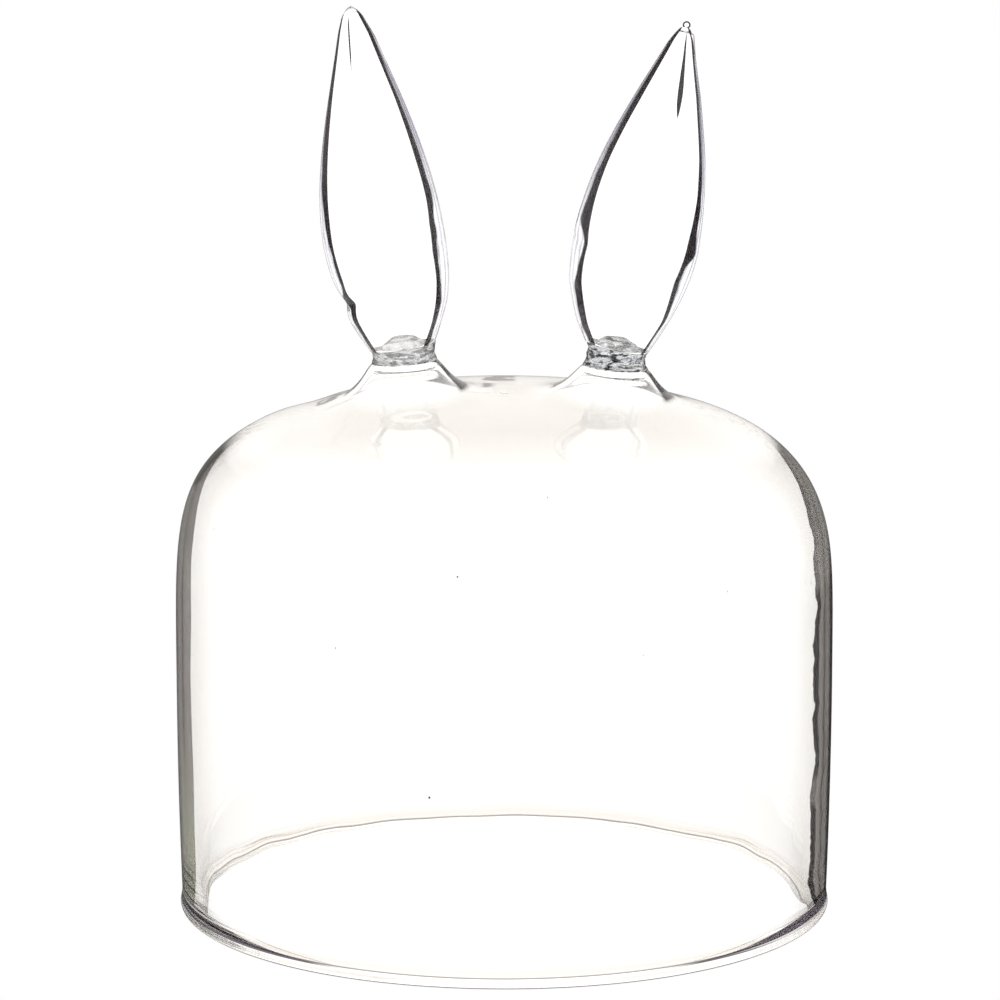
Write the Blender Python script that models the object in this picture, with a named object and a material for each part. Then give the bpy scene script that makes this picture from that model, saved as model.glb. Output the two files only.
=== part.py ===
"""Hand-blown glass cloche: an open bell with two leaf-shaped glass ears on its crown.

Metres, +Z up, the rim rests on z = 0 and the bell's axis is the Z axis.
"""
import math

import bmesh
import bpy
from mathutils import Matrix, Vector

MM = 0.001
GAP = 0.3 * MM              # clear space left between pieces that touch
TURN = 2.0 * math.pi

# Bell
WALL_R = 115.0 * MM         # widest outer radius
FOOT_R = 113.8 * MM         # outer radius just above the lip
CROWN_Z = 181.8 * MM        # outer top of the bell
SHOULDER_Z = 80.0 * MM      # height at which the wall starts to turn in
ROUND_R = 2.72              # superellipse exponents of the shoulder
ROUND_Z = 4.95
WALL_T = 5.2 * MM           # glass thickness at the side
CROWN_T = 2.6 * MM          # glass thickness at the top
HOLLOW_SHIFT = 0.6 * MM     # the hollow sits to the left, so the right wall is thicker
BELL_STEPS = 60
WALL_RINGS = 3
CROWN_RINGS = 18

# Fire-polished lip under the bell
LIP_H = 4.5 * MM
LIP_OUT_R = 114.4 * MM
LIP_IN_R = 106.4 * MM
LIP_ROLL_R = 1.9 * MM
LIP_OUT_FROM = 30.0         # degrees above level at which the outer roll starts
LIP_IN_TO = 165.0           # and at which the inner roll ends
LIP_ROLL_STEPS = 4

# Raised hollow seat pulled up from the crown under each ear
SEAT_LEAN = math.radians(4.5)
SEAT_R = 10.8 * MM
SEAT_SPREAD = 24.0 * MM
SEAT_BURY = 2.2 * MM        # depth by which the flare runs into the crown
SEAT_POWER = 1.8
SEAT_REACH = 0.85           # share of the spread that is modelled
SEAT_WALL = 3.0 * MM
SEAT_BUNCH = 1.3            # how much closer its rings are near the top
SEAT_RINGS = 7
SEAT_STEPS = 32

# Solid collar that seals an ear to its seat, and the domed plug in the ear's mouth
SEAL_TOP = 17.5 * MM        # above the crown, along the seat's axis
SEAL_WAIST = 0.6 * MM
SEAL_RINGS = 5
SEAL_EDGE = 0.5 * MM
SEAL_STEPS = 28
PLUG_R = 7.4 * MM
PLUG_H = 3.4 * MM
PLUG_STEPS = 24
PLUG_RINGS = 5

# Hollow ears
NECK_D = 10.4 * MM          # half depth at the neck
BELLY_D = 12.5 * MM         # half depth at the widest place
TIP_W = 2.7 * MM
TIP_D = 2.2 * MM
BELLY_T = 0.34              # place of the widest section along the ear
NECK_FLARE_W = 1.58         # how fast the width grows from the neck
NECK_FLARE_D = 1.1          # and the depth
UPPER_BULGE_W = 0.97        # how long the width stays near its widest
UPPER_TAPER_W = 0.46        # and how fast it narrows to the tip
UPPER_TAPER_D = 0.5
EAR_WALL_LOW = 3.4 * MM     # glass at the edges near the neck
EAR_WALL_TIP = 1.3 * MM     # and at the tip
EAR_FACE_T = 1.9 * MM       # glass of the broad faces near the neck
HOLLOW_END = 0.955          # the hollow stops here
SOLID_RINGS = 2             # rings above the hollow
EAR_STEPS = 28
EAR_RINGS = 16
BEAD_STEPS = 14

# Looks
GLASS_IOR = 1.5
GLASS_CLEARNESS = 0.9
SHARP_ANGLE = math.radians(50.0)

EARS = {
    "left": {
        "side": -1,
        "seat_x": 33.7 * MM,
        "lean": math.radians(8.6),
        "seat_h": 12.6 * MM,
        "neck": 11.5 * MM,
        "belly": 21.3 * MM,
        "length": 116.4 * MM,
        "bow": 0.0,
        "bead_r": 2.2 * MM,
        "bead_h": 1.9 * MM,
    },
    "right": {
        "side": 1,
        "seat_x": 37.7 * MM,
        "lean": math.radians(12.2),
        "seat_h": 10.8 * MM,
        "neck": 10.8 * MM,
        "belly": 22.0 * MM,
        "length": 112.0 * MM,
        "bow": -1.7 * MM,
        "bead_r": 1.3 * MM,
        "bead_h": 2.6 * MM,
    },
}


def clear_scene():
    """Remove whatever objects the scene starts with."""
    for obj in list(bpy.data.objects):
        bpy.data.objects.remove(obj, do_unlink=True)


def glass(name, colour, roughness):
    """Clear glass with the given tint."""
    material = bpy.data.materials.new(name)
    material.use_nodes = True
    shader = material.node_tree.nodes["Principled BSDF"]
    shader.inputs["Base Color"].default_value = (*colour, 1.0)
    shader.inputs["Roughness"].default_value = roughness
    shader.inputs["Metallic"].default_value = 0.0
    shader.inputs["IOR"].default_value = GLASS_IOR
    shader.inputs["Transmission Weight"].default_value = GLASS_CLEARNESS
    material.diffuse_color = (*colour, 1.0)
    return material


def finish(name, bm, material=None):
    """Turn a bmesh into a smooth-shaded named object."""
    bmesh.ops.recalc_face_normals(bm, faces=bm.faces)
    mesh = bpy.data.meshes.new(name)
    bm.to_mesh(mesh)
    bm.free()
    mesh.shade_smooth()
    mesh.set_sharp_from_angle(angle=SHARP_ANGLE)
    obj = bpy.data.objects.new(name, mesh)
    bpy.context.collection.objects.link(obj)
    if material:
        mesh.materials.append(material)
    return obj


def revolve(name, outline, steps, frame=None, material=None):
    """Turn an (r, z) outline about Z and place the solid in a frame."""
    bm = bmesh.new()
    verts = [bm.verts.new((r, 0.0, z)) for r, z in outline]
    edges = [bm.edges.new(pair) for pair in zip(verts, verts[1:])]
    bmesh.ops.spin(
        bm, geom=verts + edges, cent=(0, 0, 0), axis=(0, 0, 1), angle=TURN, steps=steps
    )
    bmesh.ops.remove_doubles(bm, verts=bm.verts, dist=0.001 * MM)
    if frame:
        bmesh.ops.transform(bm, matrix=frame, verts=bm.verts)
    return finish(name, bm, material)


def add_ring(bm, frame, half_w, half_d, steps):
    """Add one elliptical ring of vertices in a frame's XY plane."""
    ring = []
    for i in range(steps):
        angle = TURN * i / steps
        local = Vector((half_w * math.cos(angle), half_d * math.sin(angle), 0.0))
        ring.append(bm.verts.new(frame @ local))
    return ring


def loft(bm, rings):
    """Skin a run of rings, each to the next, and close both ends."""
    for lower, upper in zip(rings, rings[1:]):
        for i in range(len(lower)):
            bm.faces.new((lower[i - 1], lower[i], upper[i], upper[i - 1]))
    bm.faces.new(rings[0])
    bm.faces.new(rings[-1])


def combine(target, cutter, operation):
    """Join another solid to the target, or cut it away, with an exact Boolean."""
    cutter.hide_render = True
    cutter.display_type = "WIRE"
    modifier = target.modifiers.new(cutter.name, "BOOLEAN")
    modifier.operation = operation
    modifier.solver = "EXACT"
    modifier.object = cutter


def bezier(p0, p1, p2, p3, t):
    """Value of a cubic Bezier curve at t."""
    s = 1.0 - t
    return s * s * s * p0 + 3 * s * s * t * p1 + 3 * s * t * t * p2 + t * t * t * p3


def arc(centre_r, centre_z, radius, start, end, steps):
    """Points of a circular arc in the (r, z) plane, angles in degrees."""
    points = []
    for i in range(steps + 1):
        angle = math.radians(start + (end - start) * i / steps)
        points.append((centre_r + radius * math.cos(angle), centre_z + radius * math.sin(angle)))
    return points


def bell_outline(radius, foot_r, foot_z, top):
    """Half outline of the bell, from the middle of its foot up to the crown's centre."""
    points = [(0.0, foot_z)]
    for i in range(WALL_RINGS):
        t = i / WALL_RINGS
        z = foot_z + (SHOULDER_Z - foot_z) * t
        points.append((radius - (radius - foot_r) * (1.0 - t) ** 2, z))
    for i in range(CROWN_RINGS):
        angle = 0.25 * TURN * i / CROWN_RINGS
        r = radius * math.cos(angle) ** (2.0 / ROUND_R)
        z = SHOULDER_Z + (top - SHOULDER_Z) * math.sin(angle) ** (2.0 / ROUND_Z)
        points.append((r, z))
    points.append((0.0, top))
    return points


def crown_height(r):
    """Height of the bell's outer surface at a distance from its axis."""
    share = 1.0 - (r / WALL_R) ** ROUND_R
    return SHOULDER_Z + (CROWN_Z - SHOULDER_Z) * share ** (1.0 / ROUND_Z)


def seat_frame(ear, height=0.0):
    """Frame on the axis of an ear's seat, at a height above the crown."""
    place = Matrix.Translation((ear["side"] * ear["seat_x"], 0.0, crown_height(ear["seat_x"])))
    lean = Matrix.Rotation(ear["side"] * SEAT_LEAN, 4, "Y")
    return place @ lean @ Matrix.Translation((0.0, 0.0, height))


def ear_frame(ear, height=0.0):
    """Frame on the axis of an ear, at a height above the top of its seal."""
    origin = seat_frame(ear, SEAL_TOP).to_translation()
    lean = Matrix.Rotation(ear["side"] * ear["lean"], 4, "Y")
    return Matrix.Translation(origin) @ lean @ Matrix.Translation((0.0, 0.0, height))


def seat_outline(ear, inset):
    """Half outline of a seat's flare; the inset makes its hollow."""
    height = ear["seat_h"] - inset
    points = [(0.0, height)]
    for i in range(SEAT_RINGS + 1):
        u = SEAT_REACH * (i / SEAT_RINGS) ** SEAT_BUNCH
        r = SEAT_R - inset + SEAT_SPREAD * u
        z = (height + SEAT_BURY) * (1.0 - u) ** SEAT_POWER - SEAT_BURY
        points.append((r, z))
    points.append((0.0, points[-1][1]))
    return points


def build_bell(material):
    """The blown bell with its two raised hollow seats."""
    foot = LIP_H + GAP
    shell = revolve(
        "dome_shell", bell_outline(WALL_R, FOOT_R, foot, CROWN_Z), BELL_STEPS, None, material
    )
    for side, ear in EARS.items():
        flare = revolve(f"cut_{side}_flare", seat_outline(ear, 0.0), SEAT_STEPS, seat_frame(ear))
        combine(shell, flare, "UNION")
    shift = Matrix.Translation((-HOLLOW_SHIFT, 0.0, 0.0))
    inner = bell_outline(WALL_R - WALL_T, FOOT_R - WALL_T, foot, CROWN_Z - CROWN_T)
    below = foot - WALL_T
    inner = [(0.0, below), (inner[1][0], below)] + inner[1:]
    hollow = revolve("cut_hollow", inner, BELL_STEPS, shift)
    combine(shell, hollow, "DIFFERENCE")
    for side, ear in EARS.items():
        frame = seat_frame(ear, -CROWN_T)
        hole = revolve(f"cut_{side}_seat", seat_outline(ear, SEAT_WALL), SEAT_STEPS, frame)
        combine(shell, hole, "DIFFERENCE")


def build_lip(material):
    """The rolled lip: flat underneath, rounded outside and inside, a slight waist on top."""
    roll = LIP_ROLL_R
    outline = arc(LIP_OUT_R - roll, roll, roll, -90.0, LIP_OUT_FROM, LIP_ROLL_STEPS)
    outline.append((FOOT_R, LIP_H))
    outline.append((FOOT_R - WALL_T, LIP_H))
    outline += arc(LIP_IN_R + roll, roll, roll, LIP_IN_TO, 270.0, LIP_ROLL_STEPS)
    outline.append(outline[0])
    revolve("rim_lip", outline, BELL_STEPS, None, material)


def build_seal(name, ear, material):
    """A waisted solid collar bending from the seat's lean to the ear's lean."""
    bottom = seat_frame(ear, ear["seat_h"] + GAP)
    top = ear_frame(ear)
    bm = bmesh.new()
    rings = []
    for i in range(SEAL_RINGS + 1):
        t = i / SEAL_RINGS
        angle = ear["side"] * (SEAT_LEAN + (ear["lean"] - SEAT_LEAN) * t)
        centre = bottom.to_translation().lerp(top.to_translation(), t)
        frame = Matrix.Translation(centre) @ Matrix.Rotation(angle, 4, "Y")
        half = SEAT_R + (ear["neck"] - SEAT_R) * t - SEAL_WAIST * math.sin(math.pi * t)
        if i in (0, SEAL_RINGS):
            half -= SEAL_EDGE
        rings.append(add_ring(bm, frame, half, half, SEAL_STEPS))
    loft(bm, rings)
    finish(name, bm, material)


def build_plug(name, ear, material):
    """The domed lump of glass that closes an ear's mouth."""
    outline = [(0.0, 0.0)]
    for i in range(PLUG_RINGS):
        angle = 0.25 * TURN * i / PLUG_RINGS
        outline.append((PLUG_R * math.cos(angle), PLUG_H * math.sin(angle)))
    outline.append((0.0, PLUG_H))
    revolve(name, outline, PLUG_STEPS, ear_frame(ear, GAP), material)


def ear_section(ear, t):
    """Half width and half depth of an ear at a share of its length."""
    if t < BELLY_T:
        u = t / BELLY_T
        half_w = bezier(ear["neck"], ear["neck"] * NECK_FLARE_W, ear["belly"], ear["belly"], u)
        half_d = bezier(NECK_D, NECK_D * NECK_FLARE_D, BELLY_D, BELLY_D, u)
        return half_w, half_d
    u = (t - BELLY_T) / (1.0 - BELLY_T)
    bulge = ear["belly"] * UPPER_BULGE_W
    half_w = bezier(ear["belly"], bulge, ear["belly"] * UPPER_TAPER_W, TIP_W, u)
    half_d = bezier(BELLY_D, BELLY_D, BELLY_D * UPPER_TAPER_D, TIP_D, u)
    return half_w, half_d


def ear_ring(bm, ear, t, shell):
    """One ring of an ear's outer skin, or of its inner skin when a shell is taken off."""
    half_w, half_d = ear_section(ear, t)
    if shell:
        half_w -= EAR_WALL_LOW + (EAR_WALL_TIP - EAR_WALL_LOW) * t
        half_d -= EAR_FACE_T + (EAR_WALL_TIP - EAR_FACE_T) * t
    frame = ear_frame(ear, GAP + ear["length"] * t)
    bow = ear["bow"] * math.sin(math.pi * t)
    return add_ring(bm, frame @ Matrix.Translation((bow, 0.0, 0.0)), half_w, half_d, EAR_STEPS)


def build_ear(name, ear, material):
    """A hollow flattened leaf, open at the neck and closed at the tip."""
    bm = bmesh.new()
    outer = [ear_ring(bm, ear, i / EAR_RINGS, False) for i in range(EAR_RINGS + 1)]
    inner_rings = EAR_RINGS - SOLID_RINGS
    inner = []
    for i in range(inner_rings + 1):
        inner.append(ear_ring(bm, ear, HOLLOW_END * i / inner_rings, True))
    loft(bm, outer[::-1] + inner)
    finish(name, bm, material)


def build_bead(name, ear, material):
    """The small drop that closes an ear's tip."""
    half = 0.5 * ear["bead_h"]
    outline = []
    for i in range(BEAD_STEPS // 2 + 1):
        angle = math.pi * i / (BEAD_STEPS // 2)
        outline.append((ear["bead_r"] * math.sin(angle), half - half * math.cos(angle)))
    frame = ear_frame(ear, GAP + ear["length"] + GAP)
    revolve(name, outline, BEAD_STEPS, frame, material)


def main():
    """Build every piece of the cloche."""
    clear_scene()
    build_bell(glass("bell_glass", (0.93, 0.92, 0.90), 0.03))
    build_lip(glass("lip_glass", (0.86, 0.88, 0.86), 0.04))
    for side, ear in EARS.items():
        build_ear(f"{side}_ear_shell", ear, glass(f"{side}_ear_glass", (0.90, 0.90, 0.92), 0.03))
        build_seal(f"{side}_ear_seal", ear, glass(f"{side}_seal_glass", (0.62, 0.63, 0.65), 0.12))
        build_plug(f"{side}_ear_plug", ear, glass(f"{side}_plug_glass", (0.72, 0.73, 0.74), 0.08))
        build_bead(f"{side}_ear_bead", ear, glass(f"{side}_bead_glass", (0.86, 0.86, 0.88), 0.03))


main()
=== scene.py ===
"""Looks of the hand-blown glass cloche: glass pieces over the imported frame, in a white studio.

Metres, +Z up, in the frame's own axes. The bell's axis is Z and its rim rests on z = 0.
"""

import math
from types import SimpleNamespace

import bpy
import numpy as np
from mathutils import Matrix, Vector, noise


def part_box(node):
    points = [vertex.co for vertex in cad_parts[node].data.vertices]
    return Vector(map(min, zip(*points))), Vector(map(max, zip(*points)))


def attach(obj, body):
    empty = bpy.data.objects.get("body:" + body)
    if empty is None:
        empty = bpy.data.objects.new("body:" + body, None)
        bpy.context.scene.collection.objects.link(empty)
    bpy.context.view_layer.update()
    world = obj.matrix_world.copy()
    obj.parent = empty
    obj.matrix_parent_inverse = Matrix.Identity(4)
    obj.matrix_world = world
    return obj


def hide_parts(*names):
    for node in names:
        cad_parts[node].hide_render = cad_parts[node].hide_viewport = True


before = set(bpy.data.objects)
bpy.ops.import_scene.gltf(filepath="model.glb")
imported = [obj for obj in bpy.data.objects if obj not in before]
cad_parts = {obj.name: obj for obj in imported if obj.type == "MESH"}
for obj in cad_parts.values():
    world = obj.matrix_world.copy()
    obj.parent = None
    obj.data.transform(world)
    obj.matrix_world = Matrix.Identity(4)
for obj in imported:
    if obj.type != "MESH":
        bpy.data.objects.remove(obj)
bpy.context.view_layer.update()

MM = 0.001
TURN = 2.0 * math.pi
BODY = "root"

# Camera: a long lens in front of the bell, above its ears and looking slightly down
CAMERA_AT = Vector((-1.5 * MM, -1.80, 0.497))
CAMERA_DOWN = math.radians(11.09)
LENS_MM = 189.1

# Bell
SHOULDER_Z = 80.0 * MM
ROUND_R = 2.72
ROUND_Z = 4.95
WALL_T = 5.2 * MM
CROWN_T = 2.6 * MM
HOLLOW_SHIFT = 0.6 * MM
LIP_ROLL_R = 1.9 * MM
BELL_STEPS = 300
BELL_SPACING = 1.3 * MM
LIP_STEPS = 12
FOOT_RISE = 1.5 * MM        # how far above the lip the wall starts to curve out to it
FOOT_INSET = 0.6 * MM       # how far inside the lip's outermost line it ends

# Raised seats under the ears
SEAT_LEAN = math.radians(4.5)
SEAT_R = 10.8 * MM
SEAT_FLARE = 2.6 * MM       # how far the steep part of the flare reaches
SEAT_SKIRT = 0.30           # share of the height taken by its wide low part
SEAT_SPREAD = 4.0
SEAT_WALL = 1.4 * MM
SEAT_FULL = 0.45            # share of the height above which the glass counts as seat
LEE_X = (4 * MM, 12 * MM)   # a seat's right flank, from its axis
SEAL_TOP = 17.5 * MM        # height over the crown
PLUG_R = 7.2 * MM
PLUG_H = 3.4 * MM

# Ears
NECK_D = 10.4 * MM
BELLY_D = 12.5 * MM
TIP_W = 2.7 * MM
TIP_D = 2.2 * MM
BELLY_T = 0.34
FACE_LOW = 1.7 * MM
FACE_TIP = 0.8 * MM
HOLLOW_SHARE = 0.3          # the hollow starts this far through the edge that looks dark
HOLLOW_END = 0.988
TIP_ROUND = {"left": 0.035, "right": 0.008}     # share of the length over which each tip rounds off
EAR_STEPS = 144
EAR_ROWS = 150

# Along each edge of an ear, as (share of length, value): "out" is how far in millimetres the
# glass stands out from a smooth leaf, "edge" how far in its hollow starts, "dark" the share
# of that edge, from the hollow outwards, that is painted with dark shade. Each void is a path (see void), how
# dark it is painted (1 for the creases, whose darkness is painted shade, 0.3 for small dark specks), and how
# deep it lies in millimetres.
EARS = {
    "left": {
        "side": -1,
        "seat_x": 33.7 * MM,
        "lean": math.radians(8.6),
        "seat_h": 12.6 * MM,
        "neck": 11.5 * MM,
        "belly": 21.3 * MM,
        "bow": 0.0,
        "bubbles": 22,
        "voids": (
            (((-0.9, 0.975, 0.0), (-1.3, 0.955, 0.28), (-1.8, 0.91, 0.32), (-2.3, 0.860, 0.30),
              (-2.85, 0.81, 0.0)), 1.0, 0.8),
            (((0.0, 0.995, 0.0), (0.2, 1.0, 0.3), (0.5, 1.003, 0.0)), 1.0, 0.8),
            (((1.0, 0.078, 0.0), (1.05, 0.08, 0.2), (1.1, 0.082, 0.0)), 0.3, 1.5),
        ),
        "out_left": ((0, 0.1), (0.05, 0.4), (0.1, 0.7), (0.125, 0.0), (0.148, -1.4), (0.165, -0.7),
                     (0.2, 0.3), (0.23, 0.6), (0.32, 0.7), (0.5, 0.75), (0.76, 0.5), (0.93, 0.4), (1, -0.5)),
        "edge_left": ((0, 2.5), (0.1, 2.6), (0.125, 3.3), (0.147, 4.7), (0.156, 5.0), (0.166, 3.6),
                      (0.19, 3.1), (0.22, 3.4), (0.315, 3.0), (0.39, 2.8), (0.465, 2.4), (0.58, 1.8),
                      (0.76, 0.9), (0.93, 0.4), (1, 0.8)),
        "dark_left": ((0, 0.5), (0.12, 0.55), (0.135, 0.5), (0.15, 0.95), (0.168, 0.9), (0.19, 0.45),
                      (0.3, 0.32), (0.42, 0.5), (0.5, 0.75), (1, 0.8)),
        "out_right": ((0, -0.3), (0.06, 0), (0.12, 0.6), (0.18, 0.2), (0.265, -0.6), (0.34, -1.1),
                      (0.42, -1.0), (0.54, -0.6), (0.73, 0.3), (0.91, 1.0), (1, -0.3)),
        "edge_right": ((0, 4.2), (0.06, 3.6), (0.12, 3.6), (0.18, 4.1), (0.27, 5.6), (0.35, 5.6), (0.42, 4.7),
                       (0.545, 3.9), (0.73, 2.0), (0.92, 0.6), (1, 1.2)),
        "dark_right": ((0, 0.45), (0.12, 0.45), (0.3, 0.42), (0.42, 0.6), (0.6, 0.5), (0.8, 0.45), (1, 0.9)),
    },
    "right": {
        "side": 1,
        "seat_x": 37.7 * MM,
        "lean": math.radians(12.2),
        "seat_h": 10.8 * MM,
        "neck": 10.8 * MM,
        "belly": 22.0 * MM,
        "bow": -1.7 * MM,
        "bubbles": 60,
        "voids": (
            (((-0.35, 0.992, 0.0), (0.1, 0.955, 0.32), (0.7, 0.91, 0.5), (1.3, 0.86, 0.75), (1.9, 0.81, 0.95),
              (2.2, 0.775, 0.85), (2.55, 0.745, 0.45), (2.75, 0.728, 0.0)), 1.0, 0.9),
            (((-0.3, 0.408, 0.0), (-0.25, 0.41, 0.2), (-0.2, 0.412, 0.0)), 0.3, 1.2),
        ),
        "out_left": ((0, 0.6), (0.055, 1.7), (0.17, 1.6), (0.24, 0.5), (0.3, -0.2), (0.42, -0.4), (0.56, 0.0),
                     (0.76, 0.6), (0.95, 0.9), (0.985, 0.2), (1, -0.5)),
        "edge_left": ((0, 3.1), (0.06, 2.2), (0.18, 2.8), (0.24, 4.0), (0.3, 5.3), (0.43, 4.0), (0.56, 2.9),
                      (0.76, 1.8), (0.96, 0.4), (1, 0.8)),
        "dark_left": ((0, 0.5), (0.17, 0.6), (0.26, 0.3), (0.33, 0.32), (0.37, 0.75), (0.55, 0.6),
                      (0.8, 0.68), (1, 0.9)),
        "out_right": ((0, 0.1), (0.12, 0), (0.25, -0.1), (0.38, -0.2), (0.5, 0.2), (0.62, 0.7),
                      (0.8, 0.4), (0.97, -0.9), (1, -2.2)),
        "edge_right": ((0, 2.7), (0.11, 2.9), (0.2, 5.0), (0.24, 5.7), (0.37, 4.6), (0.5, 2.6), (0.62, 1.7),
                       (0.8, 1.4), (0.97, 1.9), (1, 3.1)),
        "dark_right": ((0, 0.4), (0.2, 0.32), (0.29, 0.3), (0.33, 0.7), (0.5, 0.5), (0.7, 0.4),
                       (0.9, 0.5), (1, 0.9)),
    },
}


# Frame measurements

def crown_top():
    """Outer height of the bell's crown on its axis."""
    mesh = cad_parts["dome_shell"].data
    return max(v.co.z for v in mesh.vertices if math.hypot(v.co.x, v.co.y) < 1.0 * MM)


def lip_inner_radius():
    """Radius of the opening in the lip."""
    return min(math.hypot(v.co.x, v.co.y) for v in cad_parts["rim_lip"].data.vertices)


WALL_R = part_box("dome_shell")[1].x
LIP_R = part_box("rim_lip")[1].x
LIP_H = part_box("rim_lip")[1].z
CROWN_Z = crown_top()
FOOT_R = LIP_R - FOOT_INSET
LIFT_Z = (0.6 * CROWN_Z, 0.8 * CROWN_Z)     # the seats lift only the glass above these heights
LIP_IN_R = lip_inner_radius()


# Small tools

def smooth_step(low, high, x):
    """Smooth ramp from 0 at low to 1 at high."""
    t = np.clip((np.asarray(x, float) - low) / (high - low), 0.0, 1.0)
    return t * t * (3.0 - 2.0 * t)


def along(points, t):
    """Smooth value at t through (position, value) points."""
    xs, ys = zip(*points)
    value = np.interp(t, xs, ys)
    near = 0.01
    wide = np.interp(np.clip(t + near, 0, 1), xs, ys) + np.interp(np.clip(t - near, 0, 1), xs, ys)
    return 0.5 * value + 0.25 * wide


def bezier(p0, p1, p2, p3, t):
    """Value of a cubic Bezier curve at t."""
    s = 1.0 - t
    return s * s * s * p0 + 3 * s * s * t * p1 + 3 * s * t * t * p2 + t * t * t * p3


def waves(points, size, seed):
    """Smooth noise of about -1 to 1 at each point, with waves of the given size."""
    shift = Vector((seed * 7.31, seed * 3.17, seed * 1.73))
    return np.array([noise.noise(Vector(p) / size + shift) for p in points])


def arc(centre_r, centre_z, radius, start, end, steps):
    """Points of a circular arc in the (r, z) plane, angles in degrees."""
    angle = np.radians(np.linspace(start, end, steps + 1))
    return [(centre_r + radius * math.cos(a), centre_z + radius * math.sin(a)) for a in angle]


def respace(points, spacing):
    """The same polyline with points at an even spacing."""
    points = np.array(points)
    length = np.concatenate([[0.0], np.cumsum(np.linalg.norm(np.diff(points, axis=0), axis=1))])
    places = np.linspace(0.0, length[-1], int(length[-1] / spacing) + 1)
    return np.stack([np.interp(places, length, points[:, k]) for k in (0, 1)], axis=1)


def skin(rows, steps):
    """Faces of a tube of vertex rows that closes at a single vertex, a pole, at each end."""
    faces = []
    for i in range(rows - 1):
        for j in range(steps):
            k = (j + 1) % steps
            faces.append((i * steps + j, (i + 1) * steps + j, (i + 1) * steps + k, i * steps + k))
    first, last = rows * steps, rows * steps + 1
    base = (rows - 1) * steps
    for j in range(steps):
        k = (j + 1) % steps
        faces.append((first, j, k))
        faces.append((last, base + k, base + j))
    return faces


def padded(values, count, fill):
    """One number for each vertex, with the same number for the vertices added since."""
    values = np.ravel(values)
    return np.concatenate([values, np.full(count - len(values), fill)])


def make_piece(name, verts, faces, material, nodes, values=None):
    """A smooth mesh piece that rides on the frame; values are named numbers for each vertex."""
    mesh = bpy.data.meshes.new(name)
    mesh.from_pydata([tuple(v) for v in verts], [], faces)
    mesh.shade_smooth()
    mesh.materials.append(material)
    for key, numbers in (values or {}).items():
        layer = mesh.attributes.new(key, "FLOAT", "POINT")
        layer.data.foreach_set("value", np.asarray(numbers, np.float32))
    piece = bpy.data.objects.new(name, mesh)
    bpy.context.scene.collection.objects.link(piece)
    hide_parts(*nodes)
    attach(piece, BODY)
    return piece


# Materials

def math_node(tree, operation, a, b=None, c=None):
    """A Math node; its inputs are numbers or other nodes' outputs."""
    node = tree.nodes.new("ShaderNodeMath")
    node.operation = operation
    for socket, value in zip(node.inputs, (a, b, c)):
        if isinstance(value, (int, float)):
            socket.default_value = value
        elif value is not None:
            tree.links.new(value, socket)
    return node.outputs[0]


def ramp_node(tree, value, low, high):
    """Smooth ramp from 0 at low to 1 at high."""
    node = tree.nodes.new("ShaderNodeMapRange")
    node.interpolation_type = "SMOOTHSTEP"
    tree.links.new(value, node.inputs["Value"])
    node.inputs["From Min"].default_value = low
    node.inputs["From Max"].default_value = high
    return node.outputs["Result"]


def mix_node(tree, factor, a, b):
    """A colour between a and b; each is a colour or another node's output."""
    node = tree.nodes.new("ShaderNodeMix")
    node.data_type = "RGBA"
    tree.links.new(factor, node.inputs["Factor"])
    for name, value in (("A", a), ("B", b)):
        if isinstance(value, tuple):
            node.inputs[name].default_value = (*value, 1.0)
        else:
            tree.links.new(value, node.inputs[name])
    return node.outputs["Result"]


def noise_node(tree, vector, scale, detail):
    """Noise from 0 to 1."""
    node = tree.nodes.new("ShaderNodeTexNoise")
    node.inputs["Scale"].default_value = scale
    node.inputs["Detail"].default_value = detail
    tree.links.new(vector, node.inputs["Vector"])
    return node.outputs["Fac"]


def ramp_colours(tree, value, stops):
    """Colour from (position, colour) stops."""
    node = tree.nodes.new("ShaderNodeValToRGB")
    tree.links.new(value, node.inputs["Fac"])
    ramp = node.color_ramp
    while len(ramp.elements) < len(stops):
        ramp.elements.new(0.5)
    for element, (place, colour) in zip(ramp.elements, stops):
        element.position = place
        element.color = (*colour, 1.0)
    return node.outputs["Color"]


def attribute(tree, name):
    """A number carried by a piece's vertices."""
    node = tree.nodes.new("ShaderNodeAttribute")
    node.attribute_name = name
    return node.outputs["Fac"]


def scaled(tree, vector, scale):
    """A vector with each part scaled."""
    node = tree.nodes.new("ShaderNodeVectorMath")
    node.operation = "MULTIPLY"
    tree.links.new(vector, node.inputs[0])
    node.inputs[1].default_value = scale
    return node.outputs[0]


def split(tree, vector):
    """The X, Y and Z of a vector."""
    node = tree.nodes.new("ShaderNodeSeparateXYZ")
    tree.links.new(vector, node.inputs["Vector"])
    return node.outputs


GLASS_IOR = 1.5
STREAKINESS = 60.0          # how fine the faint streaks are
STREAK_ROUGHNESS = 0.02
COLOURLESS = (1.0, 1.0, 1.0)


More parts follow.
